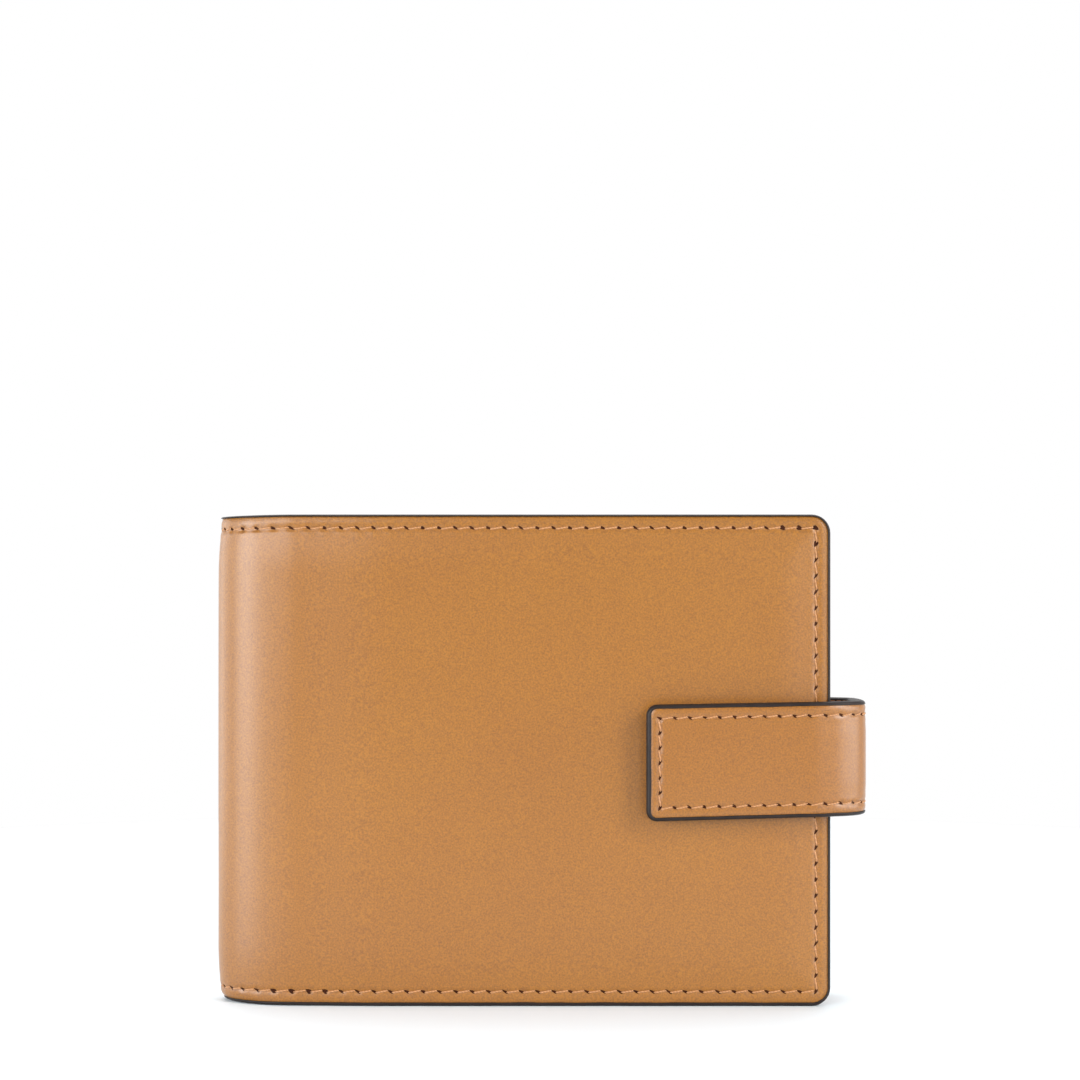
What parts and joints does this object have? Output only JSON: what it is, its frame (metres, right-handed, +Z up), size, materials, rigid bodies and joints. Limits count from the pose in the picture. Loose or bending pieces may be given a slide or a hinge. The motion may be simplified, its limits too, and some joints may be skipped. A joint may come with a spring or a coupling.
{
  "type": "trifold wallet",
  "caption": "Leather trifold wallet with hinged middle leaf, banknote compartment, card slots and a press-stud tab round its free edge.",
  "frame": {"origin": "bottom centre of the closed wallet's box, on the surface that it stands on", "axes": "+X along the wallet from the fold to the free edge, +Y through it from the front cover to the back cover, +Z up along its height"},
  "size_m": [0.1228, 0.024, 0.0924],
  "materials": {
    "outer_leather": "smooth tan calf leather with a fine grain and a soft gloss",
    "inner_leather": "thin tan leather, matt",
    "lining_leather": "skived brown lining leather, matt",
    "edge_paint": "domed dark brown edge paint, satin",
    "thread": "waxed tan polyester thread",
    "board": "grey-brown stiffening board",
    "snap_metal": "satin antique brass",
    "window_film": "clear flexible film"
  },
  "bodies": {
    "back_panel": {"back_cover": "outer_leather", "back_board": "board", "back_lining": "lining_leather", "back_divider": "inner_leather", "back_card_slot_1": "inner_leather", "back_card_slot_2": "inner_leather", "back_card_slot_3": "inner_leather", "back_card_slot_4": "inner_leather", "back_edge_bead": "edge_paint", "back_stitching": "thread", "leaf_hinge_strip": "inner_leather", "tab_root_leather": "outer_leather", "tab_root_lining": "lining_leather", "tab_root_stitching": "thread"},
    "spine": {"spine_cover": "outer_leather", "spine_lining": "lining_leather", "spine_divider": "inner_leather", "spine_edge_bead": "edge_paint", "spine_stitching": "thread"},
    "front_panel": {"front_cover": "outer_leather", "front_board": "board", "front_lining": "lining_leather", "front_divider": "inner_leather", "front_card_slot_1": "inner_leather", "front_card_slot_2": "inner_leather", "front_card_slot_3": "inner_leather", "front_card_slot_4": "inner_leather", "front_edge_bead": "edge_paint", "front_stitching": "thread", "snap_stud": "snap_metal", "snap_post": "snap_metal"},
    "leaf": {"leaf_hinge_tongue": "inner_leather", "leaf_core": "lining_leather", "leaf_window_frame": "inner_leather", "leaf_window_film": "window_film", "leaf_card_slot": "inner_leather", "leaf_stitching": "thread"},
    "tab_bend": {"tab_bend_leather": "outer_leather", "tab_bend_lining": "lining_leather", "tab_bend_stitching": "thread"},
    "tab_end": {"tab_end_leather": "outer_leather", "tab_end_lining": "lining_leather", "tab_end_stitching": "thread", "snap_cap": "snap_metal", "snap_socket": "snap_metal"}
  },
  "joints": [
    {"name": "cover_rear_fold", "type": "hinge", "parent": "back_panel", "child": "spine", "pos_m": [-0.05876, 0.00736, 0.0462], "axis": [0, 0, -1], "range_deg": [0, 90]},
    {"name": "cover_front_fold", "type": "hinge", "parent": "spine", "child": "front_panel", "pos_m": [-0.05876, -0.00536, 0.0462], "axis": [0, 0, -1], "range_deg": [0, 90]},
    {"name": "leaf_hinge", "type": "hinge", "parent": "back_panel", "child": "leaf", "pos_m": [-0.0489, 0.00115, 0.044], "axis": [0, 0, -1], "range_deg": [0, 162]},
    {"name": "tab_rear_bend", "type": "hinge", "parent": "back_panel", "child": "tab_bend", "pos_m": [0.05953, 0.01013, 0.0464], "axis": [0, 0, 1], "range_deg": [0, 90], "deforming": ["tab_bend_leather", "tab_bend_lining", "tab_bend_stitching"]},
    {"name": "tab_front_bend", "type": "hinge", "parent": "tab_bend", "child": "tab_end", "pos_m": [0.05953, -0.01013, 0.0464], "axis": [0, 0, 1], "range_deg": [0, 90], "deforming": ["tab_end_leather", "tab_end_lining", "tab_end_stitching", "snap_cap", "snap_socket"]}
  ],
  "couplings": [
    {"joint": "cover_front_fold", "follows": "cover_rear_fold", "ratio": 1},
    {"joint": "leaf_hinge", "follows": "cover_rear_fold", "ratio": 1.8},
    {"joint": "tab_front_bend", "follows": "tab_rear_bend", "ratio": 1}
  ]
}
